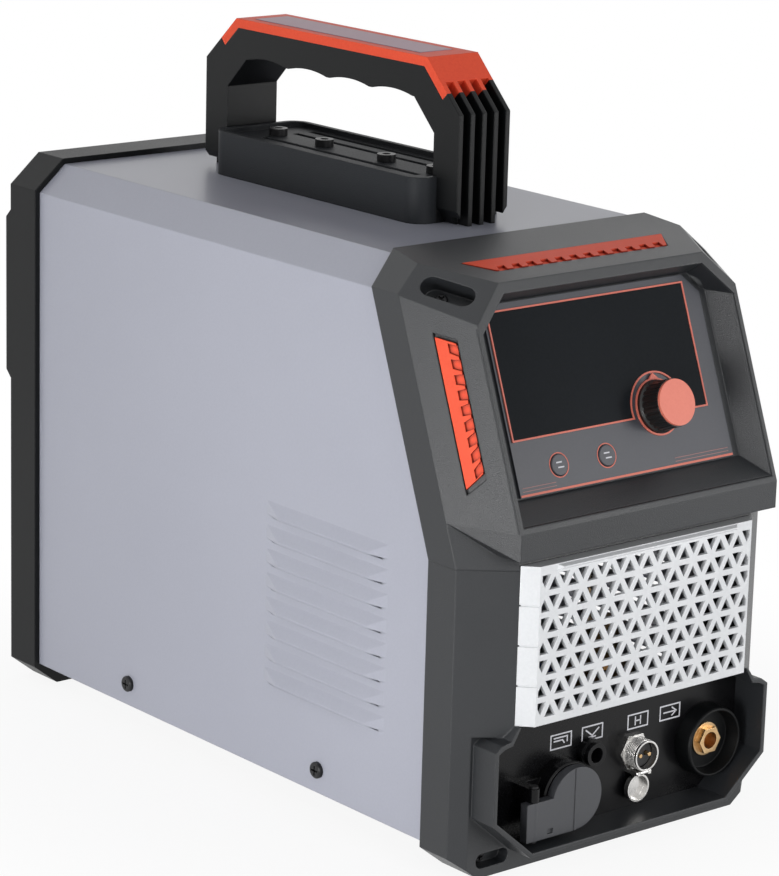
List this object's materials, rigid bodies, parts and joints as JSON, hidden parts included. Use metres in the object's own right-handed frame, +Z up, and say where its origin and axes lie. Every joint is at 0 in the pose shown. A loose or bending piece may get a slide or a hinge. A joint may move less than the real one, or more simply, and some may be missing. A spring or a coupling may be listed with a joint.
{
  "type": "plasma cutter",
  "caption": "Portable inverter plasma cutter with a tilted control panel, air grille, connector bay, louvred steel cover and carrying handle.",
  "frame": {"origin": "middle of the bounding box, on the ground under the case", "axes": "+X to the right seen from the front, +Y to the rear, +Z up; the control panel faces -Y"},
  "size_m": [0.206, 0.4169, 0.3838],
  "materials": {
    "painted_cover": "satin lilac-grey paint",
    "zinc_sheet": "zinc-plated",
    "black_plastic": "fine texture",
    "rocker_plastic": "gloss",
    "fan_plastic": "moulded",
    "silver_plastic": "silver satin",
    "grey_overlay": "printed film",
    "button_film": "soft touch",
    "dark_window": "smoked gloss",
    "orange_plastic": "satin",
    "knob_black": "fluted",
    "lilac_plastic": "satin",
    "circuit_board": "varnished board",
    "moulded_case": "moulded",
    "brass": "machined",
    "chrome": "polished",
    "black_screws": "black oxide",
    "heat_sink_metal": "extruded",
    "ferrite": "sintered",
    "copper_winding": "enamelled",
    "air_hose": "smooth"
  },
  "bodies": {
    "case": {"accent_left": "orange_plastic", "accent_right": "orange_plastic", "accent_top": "orange_plastic", "air_inlet": "brass", "air_pipe": "air_hose", "base_pan": "zinc_sheet", "bay_plate": "black_plastic", "board_posts": "chrome", "board_standoffs": "brass", "cable_gland": "black_plastic", "capacitor_bank": "moulded_case", "control_board": "circuit_board", "corner_screws": "black_screws", "cover": "painted_cover", "cover_screws": "black_screws", "display_window": "dark_window", "dust_cap_pin": "chrome", "earth_stud": "brass", "encoder": "moulded_case", "fan_frame": "black_plastic", "fan_guard": "zinc_sheet", "front_bezel": "black_plastic", "front_grille": "silver_plastic", "front_hood": "black_plastic", "handle_bolts": "black_screws", "handle_cap": "orange_plastic", "handle_frame": "black_plastic", "handle_inset": "lilac_plastic", "handle_tray": "black_plastic", "heat_sink": "heat_sink_metal", "main_board": "circuit_board", "output_inductor": "copper_winding", "overlay_panel": "grey_overlay", "panel_outline": "orange_plastic", "panel_tray": "black_plastic", "pilot_connector": "black_plastic", "power_switch_body": "black_plastic", "rear_frame": "black_plastic", "rear_panel": "zinc_sheet", "rear_screws": "black_screws", "rectifier": "moulded_case", "socket_body": "black_plastic", "socket_contact": "brass", "socket_hinge_pin": "chrome", "solenoid_valve": "brass", "torch_hex": "brass", "torch_shroud": "black_plastic", "transformer_core": "ferrite", "transformer_winding": "copper_winding", "trigger_insulator": "moulded_case", "trigger_pins": "brass", "trigger_socket": "chrome"},
    "knob": {"knob_body": "knob_black", "knob_cap": "orange_plastic"},
    "left_button": {"button_left": "button_film"},
    "right_button": {"button_right": "button_film"},
    "work_socket_cover": {"socket_cover": "black_plastic"},
    "trigger_dust_cap": {"dust_cap": "chrome"},
    "fan": {"fan_rotor": "fan_plastic"},
    "switch_rocker": {"power_switch_rocker": "rocker_plastic"}
  },
  "joints": [
    {"name": "knob_turn", "type": "hinge", "parent": "case", "child": "knob", "pos_m": [0.0274, -0.17945, 0.22238], "axis": [0, -0.9336, 0.3584], "continuous": true},
    {"name": "button_left_press", "type": "slide", "parent": "case", "child": "left_button", "axis": [0, 0.9336, -0.3584], "range_m": [0, 0.0005], "stiffness_N_per_m": 1500},
    {"name": "button_right_press", "type": "slide", "parent": "case", "child": "right_button", "axis": [0, 0.9336, -0.3584], "range_m": [0, 0.0005], "stiffness_N_per_m": 1500},
    {"name": "socket_cover_hinge", "type": "hinge", "parent": "case", "child": "work_socket_cover", "pos_m": [-0.0602, -0.195, 0.0335], "axis": [0, 0, -1], "range_deg": [0, 110]},
    {"name": "dust_cap_hinge", "type": "hinge", "parent": "case", "child": "trigger_dust_cap", "pos_m": [0.0184, -0.191, 0.0344], "axis": [-1, 0, 0], "range_deg": [0, 178]},
    {"name": "fan_spin", "type": "hinge", "parent": "case", "child": "fan", "pos_m": [0, 0.172, 0.092], "axis": [0, 1, 0], "continuous": true},
    {"name": "switch_rocker_tilt", "type": "hinge", "parent": "case", "child": "switch_rocker", "pos_m": [-0.052, 0.1875, 0.232], "axis": [1, 0, 0], "range_deg": [-24, 0]}
  ]
}
